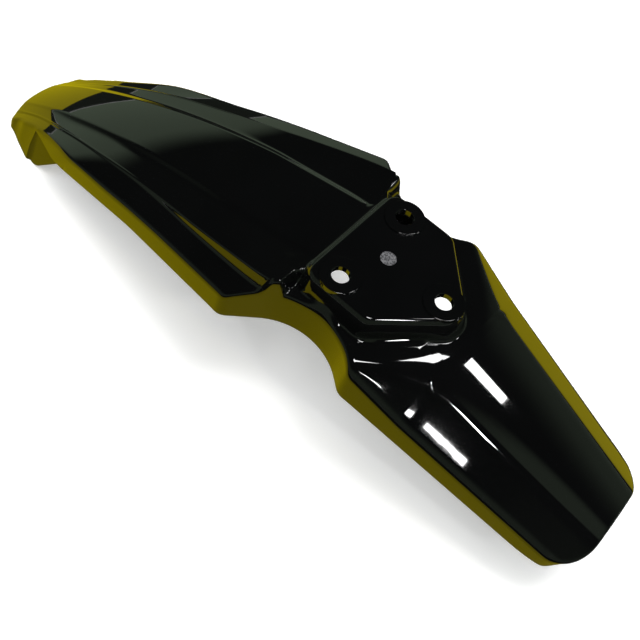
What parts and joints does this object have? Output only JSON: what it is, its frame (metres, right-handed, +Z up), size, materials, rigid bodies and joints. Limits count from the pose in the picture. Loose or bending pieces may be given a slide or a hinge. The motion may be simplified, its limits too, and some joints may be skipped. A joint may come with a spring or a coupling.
{
  "type": "motorcycle front mudguard",
  "caption": "Moulded front mudguard for a light motorcycle: long beak with stepped panel and wings, waisted at the fork legs, sloping tail, bolted under the fork crown.",
  "frame": {"origin": "centre of the bolt circle, on the upper faces of the bolt pads", "axes": "+X forward along the length towards the nose, +Y to the rider's left, +Z up, square to the bolt pads"},
  "size_m": [0.502, 0.1564, 0.1205],
  "materials": {
    "gloss_black": "gloss moulded plastic, black right through"
  },
  "bodies": {
    "root": {"mudguard": "gloss_black"}
  },
  "joints": []
}
